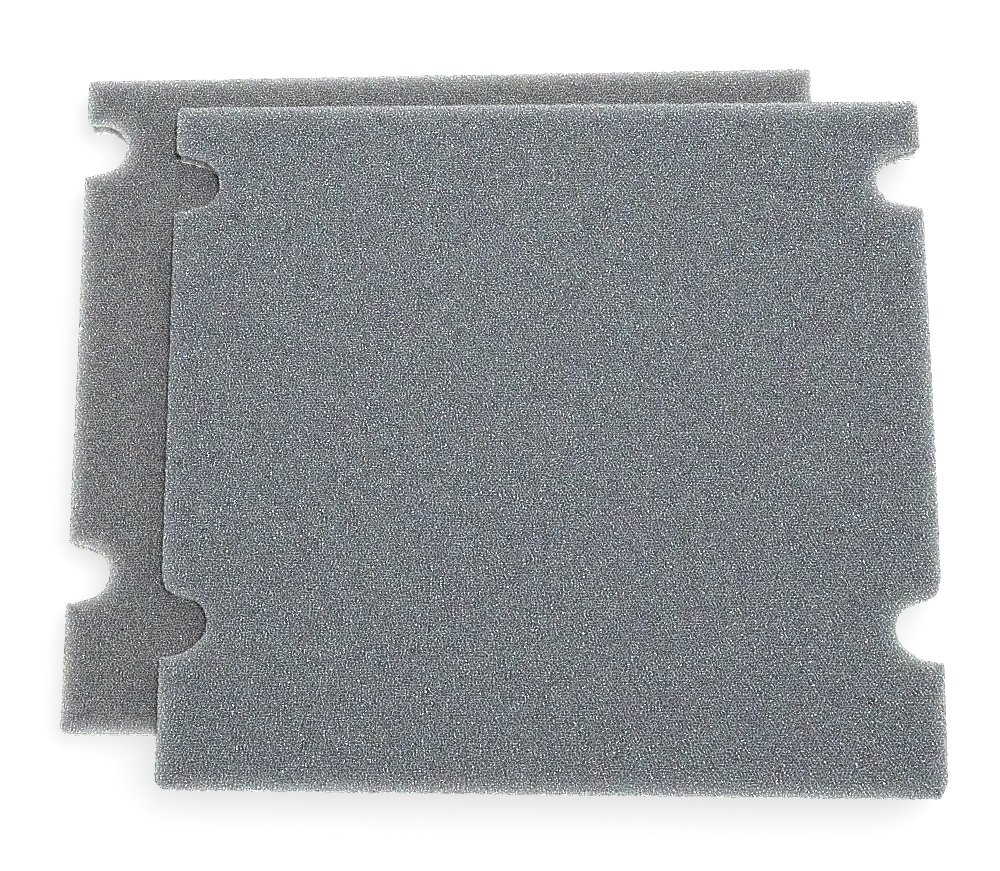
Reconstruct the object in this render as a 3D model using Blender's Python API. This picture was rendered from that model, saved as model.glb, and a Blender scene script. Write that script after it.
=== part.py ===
"""Two die-cut pads of open-cell foam, the spare elements of a small intake air filter, one lying on the other.

Metres, +Z up: +X runs to the right across the pads and +Y away from the viewer along them. The origin is
the middle of the lower pad's underside, which is the face that the pair rests on.

Both pads are cut to one shape: a near square with two round-ended notches in its left side and two in its
right side, opposite each other, which fit round the four posts of the filter's holder. The lip of each notch
that is nearer the far end is eased, and the cuts of the two pads differ by a millimetre or two, as cuts in
foam do.
"""

import math
from typing import NamedTuple

import bpy
from mathutils import Matrix, Vector

MODEL_NAME = "foam_filter_pads"

# The foam sheet, and the gap between two sheets that rest on each other.
PAD_THICKNESS = 0.00635
REST_GAP = 0.0003

# How far outside the straight line between its two corners each side swells at its middle, and the pads'
# corners from each pad's own middle. Cut foam is never quite square, so each corner has its own place.
LOWER_SWELL = {"left": -0.00017, "right": 0.0}
LOWER_CORNERS = {
    "far_left": Vector((-0.0928, 0.0832)),
    "far_right": Vector((0.0928, 0.0842)),
    "near_right": Vector((0.0930, -0.0851)),
    "near_left": Vector((-0.0933, -0.0841)),
}
UPPER_SWELL = {"left": 0.0, "right": 0.00054}
UPPER_CORNERS = {
    "far_left": Vector((-0.0942, 0.0855)),
    "far_right": Vector((0.0927, 0.0861)),
    "near_right": Vector((0.0939, -0.0872)),
    "near_left": Vector((-0.0934, -0.0855)),
}

# How far each corner is taken off along its side and along its end, and how round: 0 is a straight cut and
# 1 a full curve.
LOWER_EASES = {
    "far_left": (0.0009, 0.0009, 1.0),
    "far_right": (0.0006, 0.0006, 1.0),
    "near_right": (0.0010, 0.0010, 1.0),
    "near_left": (0.0010, 0.0012, 0.6),
}
UPPER_EASES = {
    "far_left": (0.0020, 0.0012, 1.0),
    "far_right": (0.0013, 0.0021, 1.0),
    "near_right": (0.0042, 0.0018, 0.15),
    "near_left": (0.0020, 0.0020, 0.5),
}

# Where the upper pad's middle lies from the lower pad's, and its small turn.
UPPER_MIDDLE = Vector((0.0252, -0.0129))
UPPER_TURN = math.radians(-0.38)


class Notch(NamedTuple):
    """One notch: its place as a fraction of the side from the far end, its mouth's two halves, how deep each
    flank runs straight in before it bends to the round end, and its far lip."""

    place: float
    far_half: float
    near_half: float
    far_bend: float
    near_bend: float
    lip_along: float
    lip_in: float


# The round end of every notch, how deep its centre lies, and each pad's pair of notches from the far end.
NOTCH_RADIUS = 0.0064
LOWER_NOTCH_DEPTH = 0.0040
LOWER_NOTCHES = (
    Notch(0.111, 0.0061, 0.0074, 0.0008, 0.0012, 0.0027, 0.0025),
    Notch(0.768, 0.0077, 0.0073, 0.0023, 0.0017, 0.0026, 0.0004),
)
UPPER_NOTCH_DEPTH = 0.0048
UPPER_NOTCHES = (
    Notch(0.119, 0.0079, 0.0075, 0.0011, 0.0009, 0.0017, 0.0012),
    Notch(0.769, 0.0079, 0.0083, 0.0011, 0.0066, 0.0063, 0.0022),
)
NEAR_LIP_EASE = 0.0008

ARC_STEP = math.radians(12)
EASE_STEPS = 4
SWELL_PLACES = (0.30, 0.40, 0.50, 0.60, 0.66)

# Grey foam: the darker pad lies below.
LOWER_COLOUR = (0.185, 0.190, 0.195, 1.0)
UPPER_COLOUR = (0.205, 0.215, 0.225, 1.0)
FOAM_ROUGHNESS = 0.9


def clear_scene():
    """Removes every object that a new file holds."""
    for item in list(bpy.data.objects):
        bpy.data.objects.remove(item, do_unlink=True)


def eased_corner(start, corner, end):
    """Points of a soft corner: a curve from start to end that is drawn towards the sharp corner."""
    points = []
    for step in range(EASE_STEPS + 1):
        t = step / EASE_STEPS
        points.append(start * (1 - t) ** 2 + corner * 2 * t * (1 - t) + end * t**2)
    return points


def shortened(path, length):
    """A path without its first stretch of that length."""
    for index, (here, there) in enumerate(zip(path, path[1:])):
        step = (there - here).length
        if step > length:
            return [here.lerp(there, length / step)] + path[index + 1 :]
        length -= step
    return path[-1:]


class Side:
    """One side of a pad, from its far corner to its near corner, with its inward direction and its swell."""

    def __init__(self, far_corner, near_corner, inward_sign, swell):
        self.start = far_corner
        self.span = near_corner - far_corner
        self.length = self.span.length
        self.along = self.span.normalized()
        self.inward = Vector((self.along.y, -self.along.x)) * inward_sign
        self.swell = swell

    def at(self, place):
        """The point of the side at a fraction of its length."""
        swelling = self.swell * 4 * place * (1 - place)
        return self.start + self.span * place - self.inward * swelling

    def notch(self, notch, centre_depth):
        """The outline of one notch, from its far lip round its end to its near lip."""
        mouth = self.at(notch.place)
        centre = mouth + self.inward * centre_depth
        far_lip = mouth - self.along * notch.far_half
        near_lip = mouth + self.along * notch.near_half
        first = flank_angle(notch.far_half, centre_depth - notch.far_bend)
        last = 2 * math.pi - flank_angle(notch.near_half, centre_depth - notch.near_bend)
        steps = math.ceil((last - first) / ARC_STEP)
        arc = []
        for step in range(steps + 1):
            angle = first + (last - first) * step / steps
            spoke = self.inward * math.cos(angle) + self.along * math.sin(angle)
            arc.append(centre - spoke * NOTCH_RADIUS)
        far_flank = eased_corner(far_lip, far_lip + self.inward * notch.far_bend, arc[0])
        near_flank = eased_corner(near_lip, near_lip + self.inward * notch.near_bend, arc[-1])
        far_flank = shortened(far_flank, notch.lip_in)
        near_flank = shortened(near_flank, NEAR_LIP_EASE)
        far_start = self.at(notch.place - (notch.far_half + notch.lip_along) / self.length)
        near_end = self.at(notch.place + (notch.near_half + NEAR_LIP_EASE) / self.length)
        points = eased_corner(far_start, far_lip, far_flank[0]) + far_flank[1:] + arc[1:-1]
        return points + near_flank[:0:-1] + eased_corner(near_flank[0], near_lip, near_end)

    def outline(self, notches, centre_depth):
        """The whole side without its corners: far notch, the stretch between, near notch."""
        points = self.notch(notches[0], centre_depth)
        for place in SWELL_PLACES:
            points.append(self.at(place))
        return points + self.notch(notches[1], centre_depth)


def flank_angle(across, depth):
    """The angle, from straight out of the mouth, at which a notch's round end points to the bend in its flank.

    The bend lies that far across from the round end's centre, and that much less deep.
    """
    return math.atan2(across, depth) + math.acos(NOTCH_RADIUS / math.hypot(across, depth))


def corner_points(corners, eases, name, before, after):
    """The eased corner called name, met from the corner called before on the way to the one called after."""
    corner = corners[name]
    to_before = (corners[before] - corner).normalized()
    to_after = (corners[after] - corner).normalized()
    along_side, along_end, roundness = eases[name]
    comes_along_side = before.split("_")[1] == name.split("_")[1]
    reach_before = along_side if comes_along_side else along_end
    reach_after = along_end if comes_along_side else along_side
    start = corner + to_before * reach_before
    end = corner + to_after * reach_after
    straight = (start + end) / 2
    return eased_corner(start, straight.lerp(corner, roundness), end)


def pad_outline(corners, eases, swell, notches, centre_depth):
    """A pad's outline, clockwise from above, starting at its far left corner."""
    right = Side(corners["far_right"], corners["near_right"], 1, swell["right"])
    left = Side(corners["far_left"], corners["near_left"], -1, swell["left"])
    outline = corner_points(corners, eases, "far_left", "near_left", "far_right")
    outline += corner_points(corners, eases, "far_right", "far_left", "near_right")
    outline += right.outline(notches, centre_depth)
    outline += corner_points(corners, eases, "near_right", "far_right", "near_left")
    outline += corner_points(corners, eases, "near_left", "near_right", "far_left")
    outline += reversed(left.outline(notches, centre_depth))
    return outline


def foam_material(name, colour):
    """Dull open-cell foam."""
    material = bpy.data.materials.new(name)
    material.use_nodes = True
    shader = material.node_tree.nodes["Principled BSDF"]
    shader.inputs["Base Color"].default_value = colour
    shader.inputs["Roughness"].default_value = FOAM_ROUGHNESS
    shader.inputs["Metallic"].default_value = 0.0
    material.diffuse_color = colour
    return material


def make_pad(name, outline, material, collection):
    """A flat pad cut from foam sheet: the outline as a filled curve, extruded by half its thickness each way."""
    curve = bpy.data.curves.new(name, "CURVE")
    curve.dimensions = "2D"
    curve.fill_mode = "BOTH"
    curve.extrude = PAD_THICKNESS / 2
    spline = curve.splines.new("POLY")
    spline.points.add(len(outline) - 1)
    for point, place in zip(spline.points, outline):
        point.co = (place.x, place.y, 0.0, 1.0)
    spline.use_cyclic_u = True
    curve.materials.append(material)
    pad = bpy.data.objects.new(name, curve)
    collection.objects.link(pad)
    weld = pad.modifiers.new("weld", "WELD")
    weld.merge_threshold = 0.00001
    return pad


def main():
    clear_scene()
    collection = bpy.data.collections.new(MODEL_NAME)
    bpy.context.scene.collection.children.link(collection)

    lower = make_pad(
        "lower_filter_pad",
        pad_outline(LOWER_CORNERS, LOWER_EASES, LOWER_SWELL, LOWER_NOTCHES, LOWER_NOTCH_DEPTH),
        foam_material("lower_pad_foam", LOWER_COLOUR),
        collection,
    )
    lower.location = (0.0, 0.0, PAD_THICKNESS / 2)

    upper = make_pad(
        "upper_filter_pad",
        pad_outline(UPPER_CORNERS, UPPER_EASES, UPPER_SWELL, UPPER_NOTCHES, UPPER_NOTCH_DEPTH),
        foam_material("upper_pad_foam", UPPER_COLOUR),
        collection,
    )
    upper_height = PAD_THICKNESS + REST_GAP + PAD_THICKNESS / 2
    upper.matrix_world = Matrix.Translation((UPPER_MIDDLE.x, UPPER_MIDDLE.y, upper_height)) @ Matrix.Rotation(
        UPPER_TURN, 4, "Z"
    )


main()
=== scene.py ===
"""The look of two grey open-cell foam filter pads, one lying askew on the other on a white table.

Each pad is one mesh of real pores: a pit for every pore and a ridge of struts round it, on the top, the
underside and the cut edge. The outlines and heights come from the CAD pieces. Everything is in metres,
with +X to the right and +Y away from the viewer.
"""

import math

import bpy
import numpy as np
from mathutils import Matrix, Vector
from mathutils.geometry import delaunay_2d_cdt


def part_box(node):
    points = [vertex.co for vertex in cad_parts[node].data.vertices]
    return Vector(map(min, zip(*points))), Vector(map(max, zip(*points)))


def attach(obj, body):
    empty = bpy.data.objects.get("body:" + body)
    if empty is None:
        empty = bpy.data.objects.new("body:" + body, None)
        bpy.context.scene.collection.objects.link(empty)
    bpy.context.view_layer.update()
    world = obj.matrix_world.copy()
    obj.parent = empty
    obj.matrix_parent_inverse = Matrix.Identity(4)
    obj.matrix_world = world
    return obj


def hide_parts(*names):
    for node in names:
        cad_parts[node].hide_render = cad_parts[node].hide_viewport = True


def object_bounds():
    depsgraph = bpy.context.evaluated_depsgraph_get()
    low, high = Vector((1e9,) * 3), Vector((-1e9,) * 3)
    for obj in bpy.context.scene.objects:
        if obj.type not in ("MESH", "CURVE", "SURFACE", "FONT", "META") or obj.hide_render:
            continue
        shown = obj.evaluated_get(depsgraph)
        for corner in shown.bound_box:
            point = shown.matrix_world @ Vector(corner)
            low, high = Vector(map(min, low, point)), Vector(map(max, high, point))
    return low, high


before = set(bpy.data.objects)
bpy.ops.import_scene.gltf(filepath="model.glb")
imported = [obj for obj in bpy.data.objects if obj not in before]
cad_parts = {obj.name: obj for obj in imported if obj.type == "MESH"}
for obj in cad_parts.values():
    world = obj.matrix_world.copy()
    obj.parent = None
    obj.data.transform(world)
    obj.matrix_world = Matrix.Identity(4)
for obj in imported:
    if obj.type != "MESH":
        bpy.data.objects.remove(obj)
CAD_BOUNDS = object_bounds()

# Foam of about 30 pores to the inch. The underside, which is hardly seen, has wider pores. Each pore lies
# off its place in an even packing by about this share of the pitch, and keeps this share off the edge.
PORE_PITCH = 0.00082
UNDERSIDE_PITCH = 0.00135
PORE_SHAKE = 0.17
PORE_MARGIN = 0.40

# The deepest pore, the shallowest as a share of that, and how far a junction of struts may sink.
PORE_DEPTH = 0.00042
SHALLOWEST_PORE = 0.7
STRUT_ROUGHNESS = 0.00009

# The edges of the faces have a point at this pitch, out of line by about this much, and carry painted shade,
# as the pores do. The cut edge is hollow by this much halfway up, as an edge cut from soft foam is.
EDGE_PITCH = 0.00048
EDGE_RAGGED = 0.00008
EDGE_SHADE = 0.35
WALL_HOLLOW = 0.00020

# The facets of the struts differ in brightness at random, up to a painted glint. Most differ less from the
# middle than in a normal distribution, by the first share, and the brightest and darkest more, as the second
# share grows.
BRIGHTEST_PAINTED_GLINT = 9.0
FACET_MIDDLE = 0.66
FACET_TAILS = 0.17

# Facets are alike over grains of this size, which repeat after this many. The grains are drawn out into
# short strokes, averaged at a few places, that grow from the first length at the far side to the second at
# the near side. Their directions, in degrees, are those at the far left, far right, near left and near right
# corners.
GRAIN_SIZE = 0.00019
GRAIN_CELLS = 1201
STROKE_LENGTHS = (0.0004, 0.0011)
STROKE_ANGLES = (-66.0, -82.0, -106.0, -50.0)
STROKE_PLACES = 7

# Painted light: light from the table that gets into the foam through a cut edge is painted into the colour
# and dies away inward over this distance. The cut edge itself is painted this much lighter than its rim, and
# its foot lighter still, as painted glow from the floor.
RIM_REACH = 0.0015
WALL_GLOW = 2.1
FLOOR_GLOW = 2.0

# Between these distances in from a pad's sides, which only notches reach, the cut edge's painted light sinks
# to a share, as painted shade. Over the other pad an edge has less painted light the farther it is from the
# open table, and only the least share beyond the table's reach. What the cut edge lies over is looked for
# just outside it.
NOTCH_INSETS = (0.0035, 0.0060)
NOTCH_LIGHT = 0.65
TABLE_REACH = 0.035
LEAST_TABLE_LIGHT = 0.22
JUST_OUTSIDE = 0.001

# Colours: that of the painted rim light, that of the painted shade deep in a pit, how soon a pit is wholly
# dark with it, and how strong the patches of colour are.
PAINTED_RIM_LIGHT = (0.148, 0.152, 0.143)
PAINTED_PORE_SHADE = (0.005, 0.005, 0.005)
PORE_DARKNESS = 1.3
MOTTLING = 0.14
MOTTLING_SCALE = 170
FOAM_ROUGHNESS = 0.85
FOAM_SPECULAR = 0.12

# The unevenness within a facet: its scale, and the least and greatest brightness for noise from 0.3 to 0.7.
FINE_SCALE = 3900
FINE_RANGE = (0.15, 1.85)

# Where the flat places for baking lie: the broad faces side by side below, the cut edge in strips above.
ATLAS_MARGIN = 0.015
ATLAS_SIZE = 0.47
STRIPS = 10
STRIPS_FOOT = 0.52
STRIP_PITCH = 0.046
STRIP_START = 0.03
STRIP_LENGTH = 0.9
STRIP_FILL = 0.85

# The stage: the table, the room, a broad soft light, a lamp for the foam alone, and the camera, whose pixels
# take in little of what lies beside them.
TABLE_HALF = 3.0
TABLE_COLOUR = (0.30, 0.30, 0.30)
TABLE_ROUGHNESS = 0.9
TABLE_GLOW = 0.62
ROOM_LIGHT = 0.75
SOFTBOX_PLACE = (0.55, 0.28, 0.80)
SOFTBOX_ENERGY = 3.0
SOFTBOX_ANGLE = math.radians(65)
LAMP_PLACE = (0.20, -0.16, 1.1)
LAMP_AIM = (-0.05, 0.25, 0)
LAMP_SIZE = 0.12
LAMP_SPREAD = math.radians(70)
LAMP_ENERGY = 4.5
CAMERA_PLACE = (0.02752, -0.12504, 0.52675)
CAMERA_AIM = (0.01300, -0.00983, 0.0)
CAMERA_UP = (0.0077, 0.9769, 0.2135)
CAMERA_LENS = 77.4
PIXEL_FILTER_WIDTH = 0.8


class PadLook:
    """What differs between the two pads.

    The contrast is that between facets, random tone and painted glints alike, in natural logarithms. The rim
    light is how strong the painted rim light is on rims that face the near side, the left or right side, and
    the far side, and the wall light how strong the painted light is on the cut edge.
    """

    def __init__(self, node, body, slot, seed, contrast, rim_light, wall_light, strut_colour):
        self.node = node
        self.body = body
        self.slot = slot
        self.seed = seed
        self.contrast = contrast
        self.rim_light = rim_light
        self.wall_light = wall_light
        self.strut_colour = strut_colour


PADS = (
    PadLook(
        node="lower_filter_pad",
        body="lower_pad",
        slot="lower_foam",
        seed=11,
        contrast=0.56,
        rim_light=(1.05, 0.84, 0.84),
        wall_light=1.1,
        strut_colour=(0.0895, 0.0915, 0.0965),
    ),
    PadLook(
        node="upper_filter_pad",
        body="upper_pad",
        slot="upper_foam",
        seed=23,
        contrast=0.82,
        rim_light=(0.58, 0.62, 0.88),
        wall_light=0.95,
        strut_colour=(0.0755, 0.0850, 0.0940),
    ),
)


# ---------------------------------------------------------------- outlines


def cad_outline(node):
    """The outline of a CAD pad as a counter-clockwise loop of points, with its lowest and highest z."""
    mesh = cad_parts[node].data
    low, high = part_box(node)
    follows = {}
    for face in mesh.polygons:
        if abs(face.normal.z) > 0.5:
            continue
        corners = [mesh.vertices[index].co for index in face.vertices]
        for here, there in zip(corners, corners[1:] + corners[:1]):
            if min(here.z, there.z) > high.z - 0.0001:
                follows[key_of(there)] = key_of(here)
    start = next(iter(follows))
    loop = [start]
    while follows[loop[-1]] != start:
        loop.append(follows[loop[-1]])
    points = np.array(loop) * 1e-6
    if signed_area(points) < 0:
        points = points[::-1]
    return points, low.z, high.z


def key_of(corner):
    """A place in whole micrometres, so that equal places have equal keys."""
    return round(corner.x * 1e6), round(corner.y * 1e6)


def signed_area(points):
    """The area inside a loop, positive when it runs counter-clockwise."""
    ahead = np.roll(points, -1, axis=0)
    return float((points[:, 0] * ahead[:, 1] - ahead[:, 0] * points[:, 1]).sum() / 2)


def resample(points, pitch):
    """Points at an even pitch along a closed loop, its corners kept, and each point's distance along it."""
    ahead = np.roll(points, -1, axis=0)
    places = []
    for here, there in zip(points, ahead):
        count = max(1, round(float(np.linalg.norm(there - here)) / pitch))
        for step in range(count):
            places.append(here + (there - here) * step / count)
    places = np.array(places)
    steps = np.linalg.norm(np.roll(places, -1, axis=0) - places, axis=1)
    keep = steps > pitch * 0.25
    places = places[keep]
    steps = np.linalg.norm(np.roll(places, -1, axis=0) - places, axis=1)
    return places, np.concatenate([[0.0], np.cumsum(steps)])


def outward_normals(loop):
    """The outward direction at each point of a counter-clockwise loop."""
    along = np.roll(loop, -1, axis=0) - np.roll(loop, 1, axis=0)
    along /= np.linalg.norm(along, axis=1)[:, None]
    return np.stack([along[:, 1], -along[:, 0]], axis=1)


def inside(points, loop):
    """Which points lie inside a loop."""
    result = np.zeros(len(points), bool)
    ahead = np.roll(loop, -1, axis=0)
    x, y = points[:, 0], points[:, 1]
    for (ax, ay), (bx, by) in zip(loop, ahead):
        if ay == by:
            continue
        spans = (ay > y) != (by > y)
        result ^= spans & (x < (bx - ax) * (y - ay) / (by - ay) + ax)
    return result


def distance_to(points, loop):
    """Each point's distance from a counter-clockwise loop, and which way the nearest stretch of it faces.

    That is 1 for a stretch that faces the far side, 0 for the left or right, and -1 for the near side.
    """
    nearest = np.full(len(points), 1.0)
    facing = np.zeros(len(points))
    ahead = np.roll(loop, -1, axis=0)
    for here, there in zip(loop, ahead):
        span = there - here
        share = np.clip((points - here) @ span / (span @ span), 0, 1)
        gap = points - here - share[:, None] * span
        distance = np.hypot(gap[:, 0], gap[:, 1])
        closer = distance < nearest
        nearest[closer] = distance[closer]
        facing[closer] = -span[0] / math.hypot(*span)
    return nearest, facing


# ---------------------------------------------------------------- pores


def pore_centres(low, high, pitch, rng):
    """Middles of pores over a rectangle: a hexagonal packing, well shaken."""
    rows = np.arange(low[1], high[1], pitch * math.sqrt(3) / 2)
    columns = np.arange(low[0], high[0], pitch)
    x, y = np.meshgrid(columns, rows)
    x = x + (np.arange(len(rows)) % 2)[:, None] * pitch / 2
    centres = np.stack([x.ravel(), y.ravel()], axis=1)
    return centres + rng.normal(0, pitch * PORE_SHAKE, centres.shape)


def pore_net(rim, centres):
    """Splits the area inside a rim into triangles from each pore's middle to the struts round it.

    Returns the places (rim first, then pores, then junctions), the triangles, and the first junction. A
    strut is the line between the middles of two neighbouring triangles of the pores' own mesh.
    """
    places = np.concatenate([rim, centres])
    edges = [(index, (index + 1) % len(rim)) for index in range(len(rim))]
    made = delaunay_2d_cdt([Vector(place) for place in places], edges, [], 1, 1e-9, False)
    places = np.array([tuple(place) for place in made[0]])
    triangles = np.array(made[2])
    on_rim = np.flatnonzero((triangles < len(rim)).all(axis=1))
    outside = on_rim[~inside(places[triangles[on_rim]].mean(axis=1), rim)]
    triangles = np.delete(triangles, outside, axis=0)
    junctions = places[triangles].mean(axis=1)
    first_junction = len(places)

    sides = np.concatenate([triangles[:, [0, 1]], triangles[:, [1, 2]], triangles[:, [2, 0]]])
    owner = np.tile(np.arange(len(triangles)), 3) + first_junction
    code = np.minimum(sides[:, 0], sides[:, 1]) * len(places) + np.maximum(sides[:, 0], sides[:, 1])
    order = np.argsort(code, kind="stable")
    code, sides, owner = code[order], sides[order], owner[order]
    paired = np.zeros(len(code), bool)
    paired[:-1] = code[:-1] == code[1:]
    first = np.flatnonzero(paired)
    lone = np.ones(len(code), bool)
    lone[first] = False
    lone[first + 1] = False
    here, there = sides[first, 0], sides[first, 1]
    left, right = owner[first], owner[first + 1]
    net = np.concatenate(
        [
            np.stack([here, right, left], axis=1),
            np.stack([there, left, right], axis=1),
            np.stack([sides[lone, 0], sides[lone, 1], owner[lone]], axis=1),
        ]
    )
    return np.concatenate([places, junctions]), net, first_junction


def pore_levels(count, rim_count, first_junction, rng):
    """How high each place of a net stands, from -1 at the bottom of the deepest pore to 0 on the struts, and
    so how much painted shade it gets.
    """
    level = np.zeros(count)
    # Points on the edge take painted shade, as the pores do.
    level[:rim_count] = -EDGE_SHADE
    pores = slice(rim_count, first_junction)
    level[pores] = -rng.uniform(SHALLOWEST_PORE, 1.0, first_junction - rim_count)
    return level


class PadMesh:
    """Gathers the faces of one pad: places, triangles, what they look like, and flat places for baking."""

    def __init__(self):
        self.places = []
        self.triangles = []
        self.flat = []
        self.pore = []
        self.rim = []
        self.grain = []
        self.count = 0

    def add(self, places, triangles, flat, pore, rim, grain):
        """Adds a patch, whose flat places are given for each corner and its grain for each triangle."""
        self.places.append(places)
        self.triangles.append(triangles + self.count)
        self.flat.append(flat)
        self.pore.append(pore)
        self.rim.append(rim)
        self.grain.append(grain)
        self.count += len(places)


def sheet_face(look, loop, edge_places, edge_height, outline, level_z, up, pitch, rng):
    """One broad face of a pad: its net of pores, fitted to the pad's cut edge."""
    centres = pore_centres(loop.min(axis=0), loop.max(axis=0), pitch, rng)
    centres = centres[inside(centres, outline)]
    centres = centres[distance_to(centres, outline)[0] > pitch * PORE_MARGIN]
    flat, net, first_junction = pore_net(edge_places, centres)
    rim_count = len(edge_places)
    level = pore_levels(len(flat), rim_count, first_junction, rng)
    depth = level * PORE_DEPTH
    depth[first_junction:] -= np.abs(rng.normal(0, STRUT_ROUGHNESS, len(flat) - first_junction))
    z = level_z + depth * up
    z[:rim_count] = edge_height
    if up < 0:
        net = net[:, ::-1]
    distance, facing = distance_to(flat, outline)
    # Painted rim light, dying away from the cut edge, stronger on some facings and weaker over the other
    # pad.
    rim = np.exp(-distance / RIM_REACH) * np.interp(facing, (-1, 0, 1), look.rim_light)
    rim *= table_light(flat, level_z)
    grain = stroked_noise(flat[net].mean(axis=1), loop, rng)
    return np.column_stack([flat, z]), net, flat, level, rim, grain


def stroked_noise(places, loop, rng):
    """Random values at places within a loop, alike along short strokes."""
    low, high = loop.min(axis=0), loop.max(axis=0)
    across, along = ((places - low) / (high - low)).clip(0, 1).T
    far_left, far_right, near_left, near_right = STROKE_ANGLES
    far = far_left + (far_right - far_left) * across
    near = near_left + (near_right - near_left) * across
    angle = np.radians(near + (far - near) * along)
    length = STROKE_LENGTHS[1] + (STROKE_LENGTHS[0] - STROKE_LENGTHS[1]) * along
    stroke = np.stack([np.cos(angle), np.sin(angle)], axis=1) * length[:, None]
    grains = rng.normal(0, 1, (GRAIN_CELLS, GRAIN_CELLS))
    total = np.zeros(len(places))
    for share in np.linspace(-0.5, 0.5, STROKE_PLACES):
        cell = np.floor((places + stroke * share - low) / GRAIN_SIZE).astype(int) % GRAIN_CELLS
        total += grains[cell[:, 0], cell[:, 1]]
    return total / STROKE_PLACES * np.sqrt(1 + length / GRAIN_SIZE)


def wall_face(loop, distance, low, high, rng):
    """The cut edge of a pad as a net of pores, in distance along the edge and height."""
    total = distance[-1]
    count = len(loop)
    tall = high - low
    ends = np.arange(EDGE_PITCH, tall - EDGE_PITCH / 2, EDGE_PITCH)
    bottom = np.stack([distance, np.zeros(count + 1)], axis=1)
    right = np.stack([np.full(len(ends), total), ends], axis=1)
    top = np.stack([distance[::-1], np.full(count + 1, tall)], axis=1)
    left = np.stack([np.zeros(len(ends)), ends[::-1]], axis=1)
    rim = np.concatenate([bottom, right, top, left])
    centres = pore_centres((0, 0), (total, tall), PORE_PITCH, rng)
    margin = PORE_PITCH * PORE_MARGIN
    fits = (centres > margin).all(axis=1) & (centres < (total - margin, tall - margin)).all(axis=1)
    flat, net, first_junction = pore_net(rim, centres[fits])
    level = pore_levels(len(flat), len(rim), first_junction, rng)
    return flat, net, level, first_junction, len(rim)


def build_pad(look):
    """One pad's mesh: top, underside and cut edge, sharing most points of the edges between them."""
    rng = np.random.default_rng(look.seed)
    outline, low, high = cad_outline(look.node)
    loop, distance = resample(outline, EDGE_PITCH)
    normals = outward_normals(loop)
    count = len(loop)
    tall = high - low

    ragged_top = loop + normals * rng.normal(EDGE_RAGGED, EDGE_RAGGED, count)[:, None]
    ragged_bottom = loop + normals * rng.normal(0, EDGE_RAGGED, count)[:, None]
    top_z = high - np.abs(rng.normal(0, EDGE_RAGGED, count))
    bottom_z = low + np.abs(rng.normal(0, EDGE_RAGGED / 2, count))

    pad = PadMesh()
    top = sheet_face(look, loop, ragged_top, top_z, outline, high, 1, PORE_PITCH, rng)
    pad.add(top[0], top[1], atlas(top[2][top[1]], loop, 0), *top[3:])
    under = sheet_face(look, loop, ragged_bottom, bottom_z, outline, low, -1, UNDERSIDE_PITCH, rng)
    pad.add(under[0], under[1], atlas(under[2][under[1]], loop, 1), *under[3:])

    flat, net, level, first_junction, rim_count = wall_face(loop, distance, low, high, rng)
    along = np.clip(flat[:, 0], 0, distance[-1])
    wrapped = np.concatenate([loop, loop[:1]])
    turned = np.concatenate([normals, normals[:1]])
    base = np.stack([np.interp(along, distance, wrapped[:, axis]) for axis in (0, 1)], axis=1)
    out = np.stack([np.interp(along, distance, turned[:, axis]) for axis in (0, 1)], axis=1)
    share = flat[:, 1] / tall
    depth = level * PORE_DEPTH - WALL_HOLLOW * 4 * share * (1 - share)
    depth[first_junction:] -= np.abs(rng.normal(0, STRUT_ROUGHNESS, len(flat) - first_junction))
    places = np.column_stack([base + out * depth[:, None], low + flat[:, 1]])
    row = count + 1
    top_start = row + (rim_count - 2 * row) // 2
    ring = np.append(np.arange(count), 0)
    places[:row] = np.column_stack([ragged_bottom, bottom_z])[ring]
    places[top_start : top_start + row] = np.column_stack([ragged_top, top_z])[ring[::-1]]
    # Painted light on the cut edge, with painted glow from the floor at its foot, and painted shade in
    # notches and over the other pad.
    glow = (WALL_GLOW + FLOOR_GLOW * (1 - share) ** 3) * look.wall_light
    from_sides = np.minimum(base - loop.min(axis=0), loop.max(axis=0) - base).min(axis=1)
    notch_light = np.interp(from_sides, NOTCH_INSETS, (1.0, NOTCH_LIGHT))
    glow *= np.minimum(np.sqrt(table_light(base + out * JUST_OUTSIDE, low)), notch_light)
    grain = rng.normal(0, 1, len(net))
    pad.add(places, net, strip_atlas(flat[net], distance[-1], tall), level, glow, grain)
    return finish_pad(look, pad)


def table_light(places, height):
    """How much of the table's painted light a place at a height gets: all of it, or less over another pad,
    as painted shade.
    """
    light = np.ones(len(places))
    for look in PADS:
        outline, low, high = cad_outline(look.node)
        if high < height:
            covered = inside(places, outline)
            distance = distance_to(places[covered], outline)[0]
            light[covered] = (1 - distance / TABLE_REACH).clip(LEAST_TABLE_LIGHT, 1)
    return light


def atlas(corners, loop, column):
    """Flat places of a broad face for baking: its own plan, scaled into one half of the lower part."""
    low = loop.min(axis=0)
    size = (loop.max(axis=0) - low).max()
    placed = (corners - low) / size * ATLAS_SIZE + np.array([ATLAS_MARGIN + 0.5 * column, ATLAS_MARGIN])
    return placed.reshape(-1, 2)


def strip_atlas(corners, total, tall):
    """Flat places of the cut edge for baking: strips, one above the other, in the upper part."""
    strip = np.floor(corners[:, :, 0].min(axis=1) / total * STRIPS).clip(0, STRIPS - 1)
    u = (corners[:, :, 0] / total * STRIPS - strip[:, None]) * STRIP_LENGTH + STRIP_START
    v = STRIPS_FOOT + (strip[:, None] + corners[:, :, 1] / tall * STRIP_FILL) * STRIP_PITCH
    return np.stack([u, v], axis=2).reshape(-1, 2)


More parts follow.
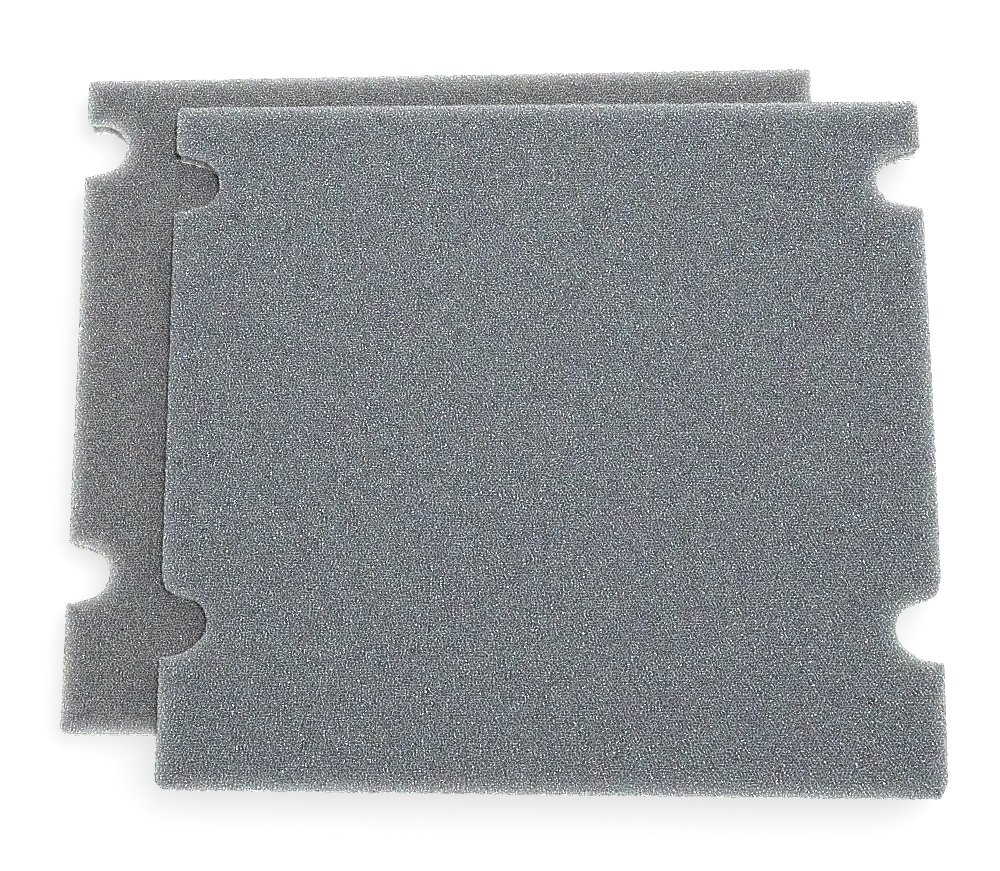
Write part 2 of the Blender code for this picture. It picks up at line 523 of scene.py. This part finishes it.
def finish_pad(look, pad):
    """Turns the gathered patches into an object with its material."""
    places = np.concatenate(pad.places)
    triangles = np.concatenate(pad.triangles)
    level = np.concatenate(pad.pore)
    rim = np.concatenate(pad.rim)
    grain = np.concatenate(pad.grain)
    places, triangles, level, rim, sound = weld(places, triangles, level, rim)
    tone_and_glint = facet_tone_and_glint(grain[sound], triangles, len(places), look.contrast)

    mesh = bpy.data.meshes.new(look.node + "_foam")
    mesh.vertices.add(len(places))
    mesh.vertices.foreach_set("co", places.ravel())
    mesh.loops.add(len(triangles) * 3)
    mesh.loops.foreach_set("vertex_index", triangles.ravel())
    mesh.polygons.add(len(triangles))
    mesh.polygons.foreach_set("loop_start", np.arange(0, len(triangles) * 3, 3))
    uv = mesh.uv_layers.new(name="OFBake")
    mesh.update(calc_edges=True)
    uv.data.foreach_set("uv", np.concatenate(pad.flat)[np.repeat(sound, 3)].ravel())

    # Painted shade in the pores, painted rim light, and facet tones whose brightest are painted glints.
    for name, domain, values in (("pore", "POINT", -level), ("rim", "POINT", rim), ("tone_and_glint", "FACE", tone_and_glint)):
        mesh.attributes.new(name, "FLOAT", domain).data.foreach_set("value", values.astype(np.float32))
    mesh.materials.append(foam_material(look))
    pad_object = bpy.data.objects.new(look.node + "_foam", mesh)
    bpy.context.scene.collection.objects.link(pad_object)
    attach(pad_object, look.body)
    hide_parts(look.node)
    return pad_object


def facet_tone_and_glint(grain, triangles, count, contrast):
    """How bright each triangle is, from random values, with no patch much lighter than those round it; the
    brightest are painted glints.
    """
    for _ in range(2):
        grain = grain - mean_around(grain, triangles, count)
        grain /= grain.std()
    tone_and_glint = np.exp(contrast * grain * (FACET_MIDDLE + FACET_TAILS * np.abs(grain)))
    tone_and_glint *= np.sqrt(tone_and_glint.mean() / mean_around(tone_and_glint, triangles, count))
    return tone_and_glint.clip(0, BRIGHTEST_PAINTED_GLINT)


def mean_around(values, triangles, count):
    """The mean of the values of the triangles round each triangle's corners."""
    total = np.zeros(count)
    times = np.zeros(count)
    for corner in range(3):
        total += np.bincount(triangles[:, corner], values, count)
        times += np.bincount(triangles[:, corner], minlength=count)
    return (total / times.clip(1))[triangles].mean(axis=1)


def weld(places, triangles, level, rim):
    """Joins the patches where their edge points round alike, and drops triangles that this closes up.

    The broad faces come back from their nets in single precision, so about a quarter of their edge points
    don't round alike. There the patches meet without being joined, and the mesh isn't closed.
    """
    keys = np.round(places * 1e8).astype(np.int64)
    _, first, merged = np.unique(keys, axis=0, return_index=True, return_inverse=True)
    merged = merged.ravel()
    triangles = merged[triangles]
    sound = (
        (triangles[:, 0] != triangles[:, 1])
        & (triangles[:, 1] != triangles[:, 2])
        & (triangles[:, 2] != triangles[:, 0])
    )
    return places[first], triangles[sound], level[first], rim[first], sound


# ---------------------------------------------------------------- materials


def foam_material(look):
    """Grey foam: painted shade in the pores, painted light towards a cut edge, facets of random tone with
    painted glints, faintly mottled.
    """
    material = bpy.data.materials.new(look.node + "_foam")
    material.use_nodes = True
    tree = material.node_tree
    shader = tree.nodes["Principled BSDF"]
    shader.inputs["Roughness"].default_value = FOAM_ROUGHNESS
    shader.inputs["Specular IOR Level"].default_value = FOAM_SPECULAR

    values = {}
    for name in ("pore", "rim", "tone_and_glint"):
        node = tree.nodes.new("ShaderNodeAttribute")
        node.attribute_name = name
        values[name] = node.outputs["Fac"]

    # Painted shade: the strut colour darkens towards the bottom of each pore.
    depth = arithmetic(tree, "MULTIPLY", values["pore"], PORE_DARKNESS)
    pitted = mix(tree, "MIX", depth, (*look.strut_colour, 1), (*PAINTED_PORE_SHADE, 1))
    toned = mix(tree, "MULTIPLY", 1.0, pitted, values["tone_and_glint"])
    grained = mix(tree, "MULTIPLY", 1.0, toned, fine_grain(tree))
    # Painted rim light, a little stronger on brighter facets, added where the rim attribute asks for it.
    rim = mix(tree, "MULTIPLY", 1.0, (*PAINTED_RIM_LIGHT, 1), arithmetic(tree, "POWER", values["tone_and_glint"], 0.5))
    lit = mix(tree, "ADD", values["rim"], grained, rim)
    mottled = mix(tree, "COLOR", MOTTLING, lit, mottling(tree))
    tree.links.new(mottled, shader.inputs["Base Color"])
    return material


def mix(tree, mode, factor, first, second):
    """A colour mix whose factor and colours may each be a value or another node's output."""
    node = tree.nodes.new("ShaderNodeMix")
    node.data_type = "RGBA"
    node.blend_type = mode
    node.clamp_factor = mode == "MIX"
    for socket, value in ((node.inputs[0], factor), (node.inputs[6], first), (node.inputs[7], second)):
        if isinstance(value, bpy.types.NodeSocket):
            tree.links.new(value, socket)
        else:
            socket.default_value = value
    return node.outputs[2]


def arithmetic(tree, operation, value, number):
    """A value multiplied by a number or raised to its power."""
    node = tree.nodes.new("ShaderNodeMath")
    node.operation = operation
    tree.links.new(value, node.inputs[0])
    node.inputs[1].default_value = number
    return node.outputs[0]


def fine_grain(tree):
    """Unevenness within a facet, 1 on average."""
    place = tree.nodes.new("ShaderNodeTexCoord")
    noise = tree.nodes.new("ShaderNodeTexNoise")
    noise.inputs["Scale"].default_value = FINE_SCALE
    noise.inputs["Detail"].default_value = 0
    tree.links.new(place.outputs["Object"], noise.inputs["Vector"])
    spread = tree.nodes.new("ShaderNodeMapRange")
    spread.inputs["From Min"].default_value = 0.3
    spread.inputs["From Max"].default_value = 0.7
    spread.inputs["To Min"].default_value = FINE_RANGE[0]
    spread.inputs["To Max"].default_value = FINE_RANGE[1]
    tree.links.new(noise.outputs["Fac"], spread.inputs["Value"])
    return spread.outputs["Result"]


def mottling(tree):
    """Patches of colour a few millimetres wide."""
    place = tree.nodes.new("ShaderNodeTexCoord")
    noise = tree.nodes.new("ShaderNodeTexNoise")
    noise.inputs["Scale"].default_value = MOTTLING_SCALE
    noise.inputs["Detail"].default_value = 2
    tree.links.new(place.outputs["Object"], noise.inputs["Vector"])
    return noise.outputs["Color"]


def table_material():
    """A white table top in strong light, its shadows pale."""
    material = bpy.data.materials.new("table_white")
    material.use_nodes = True
    shader = material.node_tree.nodes["Principled BSDF"]
    shader.inputs["Base Color"].default_value = (*TABLE_COLOUR, 1)
    shader.inputs["Roughness"].default_value = TABLE_ROUGHNESS
    shader.inputs["Specular IOR Level"].default_value = 0.0
    shader.inputs["Emission Color"].default_value = (1.0, 1.0, 1.0, 1)
    shader.inputs["Emission Strength"].default_value = TABLE_GLOW
    return material


# ---------------------------------------------------------------- stage


def build_table():
    """The table top that the lower pad rests on."""
    height = CAD_BOUNDS[0].z
    mesh = bpy.data.meshes.new("table_top")
    corners = [(x * TABLE_HALF, y * TABLE_HALF, height) for x, y in ((-1, -1), (1, -1), (1, 1), (-1, 1))]
    mesh.from_pydata(corners, [], [(0, 1, 2, 3)])
    mesh.materials.append(table_material())
    table = bpy.data.objects.new("table_top", mesh)
    bpy.context.scene.collection.objects.link(table)


def build_light(pads):
    """An even white room, a broad soft light from the far right, and a lamp above for the foam alone."""
    world = bpy.data.worlds.new("white_room")
    world.use_nodes = True
    background = world.node_tree.nodes["Background"]
    background.inputs["Color"].default_value = (1.0, 1.0, 1.0, 1)
    background.inputs["Strength"].default_value = ROOM_LIGHT
    bpy.context.scene.world = world

    softbox = add_light("softbox", "SUN", Vector(SOFTBOX_PLACE), Vector((0, 0, 0)))
    softbox.data.energy = SOFTBOX_ENERGY
    softbox.data.angle = SOFTBOX_ANGLE

    lamp = add_light("lamp", "AREA", Vector(LAMP_PLACE), Vector(LAMP_AIM))
    lamp.data.shape = "DISK"
    lamp.data.size = LAMP_SIZE
    lamp.data.spread = LAMP_SPREAD
    lamp.data.energy = LAMP_ENERGY
    lit = bpy.data.collections.new("lit_by_lamp")
    for pad in pads:
        lit.objects.link(pad)
    lamp.light_linking.receiver_collection = lit


def add_light(name, kind, place, aim):
    """A light at a place, turned to face another."""
    light = bpy.data.objects.new(name, bpy.data.lights.new(name, kind))
    light.location = place
    light.rotation_mode = "QUATERNION"
    light.rotation_quaternion = (aim - place).to_track_quat("-Z", "Y")
    bpy.context.scene.collection.objects.link(light)
    return light


def build_camera():
    """A camera above the near side, looking steeply down."""
    place = Vector(CAMERA_PLACE)
    backward = (place - Vector(CAMERA_AIM)).normalized()
    rightward = Vector(CAMERA_UP).cross(backward).normalized()
    upward = backward.cross(rightward)
    data = bpy.data.cameras.new("camera")
    data.lens = CAMERA_LENS
    data.sensor_width = 36.0
    data.clip_start = 0.01
    camera = bpy.data.objects.new("camera", data)
    turn = Matrix((rightward, upward, backward)).transposed().to_4x4()
    camera.matrix_world = Matrix.Translation(place) @ turn
    bpy.context.scene.collection.objects.link(camera)
    bpy.context.scene.camera = camera


foam_pads = [build_pad(look) for look in PADS]
build_table()
build_light(foam_pads)
build_camera()
bpy.context.scene.view_settings.view_transform = "Standard"
bpy.context.scene.cycles.use_denoising = False
bpy.context.scene.cycles.filter_width = PIXEL_FILTER_WIDTH
